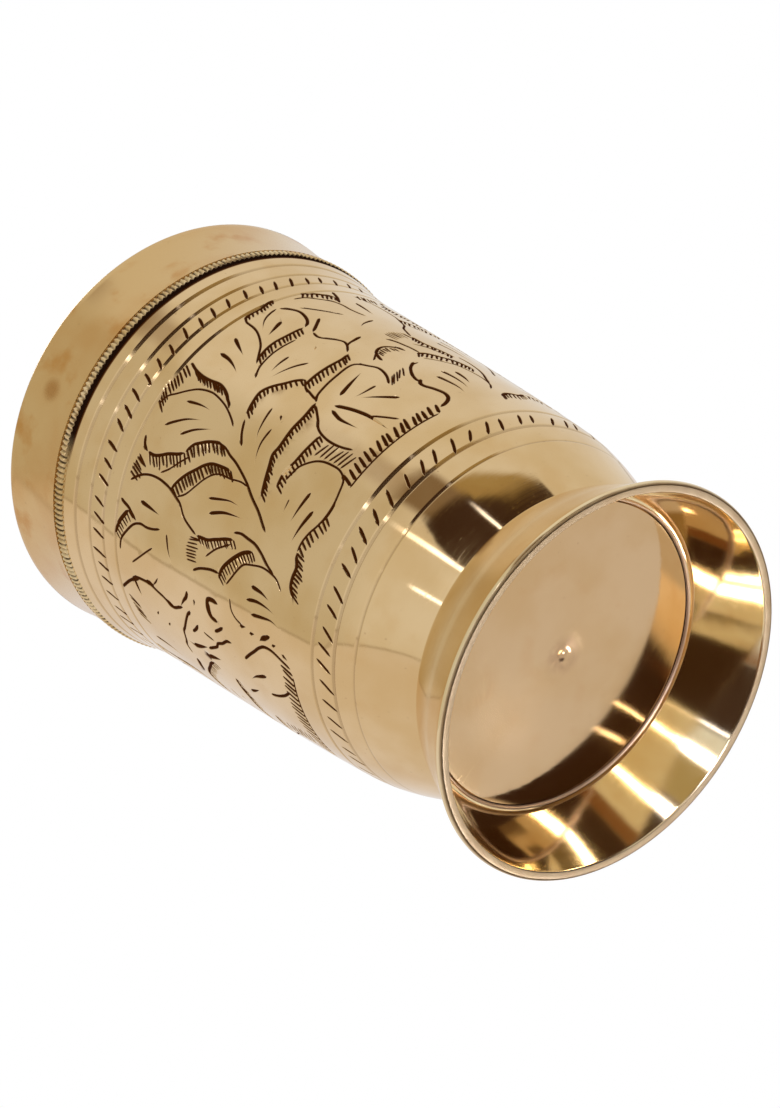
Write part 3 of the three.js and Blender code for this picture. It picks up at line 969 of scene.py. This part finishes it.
tent = bpy.data.worlds.new("studio_tent")
scene.world = tent
tent.use_nodes = True
tent_tree = tent.node_tree
way = Tone(tent_tree).node("ShaderNodeTexCoord", output="Generated")
azimuth = way.maths("ARCTAN2", way.part("X"), -way.part("Y")) * math.degrees(1)
elevation = way.maths("ARCSINE", way.part("Z")) * math.degrees(1)


def tent_patch(middle, half_width, low, high, soft, fade=None, lean=0.0, climb=0.0):
    """Mask of an upright patch of the tent: degrees round from the front, and up from the horizon.
    Its edges are soft, its top may fade over a different height or climb, and its sides may lean."""
    aside = azimuth - middle - elevation * lean
    aside = aside.maths("WRAP", aside, 180.0, -180.0)
    sides = 1 - aside.maths("ABSOLUTE", aside).rise(half_width - soft, half_width + soft)
    top = 1 - (elevation - aside * climb).rise(high - (fade or soft), high + (fade or soft))
    return sides * top * elevation.rise(low - soft, low + soft)


# Each patch lies over those before it.
tent_patches = [
    (TENT_SHADE, (-24, 50, 18, 84, 10)),
    (TENT_SHADE, (0, 200, 72, 120, 8)),
    (TENT_BROWN, (58, 18, -90, -42.5, 3, 2)),
    (TENT_OCHRE, (-124, 20, -32, -5, 4)),
    (TENT_GLOW, (-105, 25, -73, -58, 4)),
    (TENT_DARK, (0, 200, -95, -75, 1.5)),
    (TENT_RUST, (-55, 9, -76, -1.5, 3, 1)),
    (TENT_DARK, (-27, 20, -76, -1.5, 2, 1)),
    (TENT_BROWN, (16, 14, -24.5, -10, 1)),
    (TENT_BROWN, (56, 10, -37.5, -28, 1)),
    (TENT_DARK, (117, 42, -90, -1.5, 3, 1)),
    (TENT_TAN, (33, 7, 15, 40, 4)),
    (TENT_OCHRE, (62, 21, -8, 12, 1.2, 1.2, 0, -0.07)),
    (TENT_UMBER, (34, 11, -8, 28, 3, 7)),
    (TENT_DARK, (26, 13.5, -1.2, 8.4, 1, 1, 1.0)),
    (TENT_OCHRE, (20, 13, -9, -2.2, 1)),
    (TENT_DARK, (51, 13, -8, 6.5, 0.8)),
    (TENT_DARK, (71, 12, -8, 8.5, 0.8, 0.8, 0, 0.19)),
    (STRIP_LIGHT, (44.3, 0.9, -2, 4.5, 0.5, 2.5)),
    (STRIP_LIGHT, (11.4, 1.3, -2, 11, 0.5, 9)),
    (STRIP_LIGHT, (-11.3, 0.9, -2, 2.4, 0.5, 0.8)),
    (STRIP_LIGHT, (-9, 0.8, -9, -3.2, 0.5)),
    (STRIP_LIGHT, (164, 0.5, -51, -47, 0.4)),
    (LOW_STRIP_LIGHT, (7, 3, -9, -3.2, 1)),
    (LOW_STRIP_LIGHT, (40, 3, -7, -2.5, 0.7)),
    (LOW_STRIP_LIGHT, (7.5, 8, -62, -35.5, 1.5)),
    (LOW_STRIP_LIGHT, (15, 6, -34, -26.5, 1.5)),
    (LOW_STRIP_LIGHT, (-3, 5, -30, -25, 1)),
    (LOW_STRIP_LIGHT, (64.5, 1.5, -78.2, -76.2, 0.8)),
    (LOW_STRIP_LIGHT, (21, 1.2, -83, -78, 0.7)),
    (LOW_STRIP_LIGHT, (-167, 2.5, -50, -38, 1.5)),
    (LOW_STRIP_LIGHT, (-99, 4, -50, -43.3, 0.5)),
]
tent_colour = TENT_PALE
for colour, patch in tent_patches:
    tent_colour = tent_patch(*patch).between(tent_colour, colour)
side_wall = way.node("ShaderNodeVectorMath", {"operation": "DOT_PRODUCT"}, {0: way, 1: SIDE_WALL_WAY},
                     output="Value")
tent_colour = (side_wall.rise(-0.02, 0.02) * elevation.rise(0.0, 4.0)).between(tent_colour, TENT_SIDE)
pole = 1 - side_wall.maths("ABSOLUTE", side_wall).rise(0.004, 0.014)
tent_colour = (pole * elevation.rise(0.0, 4.0)).between(tent_colour, TENT_POLE)
looked_at = azimuth.node("ShaderNodeLightPath", output="Is Camera Ray")
shown = looked_at.between(tent_colour, WHITE)
tent_tree.links.new(shown.socket, tent_tree.nodes["Background"].inputs["Color"])

lamp_data = bpy.data.lights.new("overhead_softbox", "AREA")
lamp_data.shape = "DISK"
lamp_data.size = LAMP_SIZE
lamp_data.energy = LAMP_POWER
lamp = bpy.data.objects.new("overhead_softbox", lamp_data)
lamp.location = LAMP_PLACE
lamp.rotation_euler = (Vector(LAMP_AIM) - lamp.location).to_track_quat("-Z", "Y").to_euler()
scene.collection.objects.link(lamp)

# Camera: looks up at the tumbler from below its foot, rolled so that the mouth lies up and left.
# Its place and lens were fitted to the outlines of the foot, the neck, the bead and the mouth.
VIEW_AIM = (-0.7, 0.0, 56.2)
VIEW_DISTANCE = 572.9
VIEW_AZIMUTH = math.radians(0.1)
VIEW_ELEVATION = math.radians(-44.89)
VIEW_ROLL = math.radians(-58.33)
VIEW_LENS = 112.26
camera_data = bpy.data.cameras.new("photo_view")
camera_data.lens = VIEW_LENS
camera_data.sensor_width = 36.0
camera = bpy.data.objects.new("photo_view", camera_data)
camera.matrix_world = (Matrix.Translation(MM * Vector(VIEW_AIM)) @ Matrix.Rotation(VIEW_AZIMUTH, 4, "Z")
                       @ Matrix.Rotation(math.pi / 2 - VIEW_ELEVATION, 4, "X")
                       @ Matrix.Rotation(VIEW_ROLL, 4, "Z")
                       @ Matrix.Translation((0, 0, MM * VIEW_DISTANCE)))
scene.collection.objects.link(camera)
scene.camera = camera
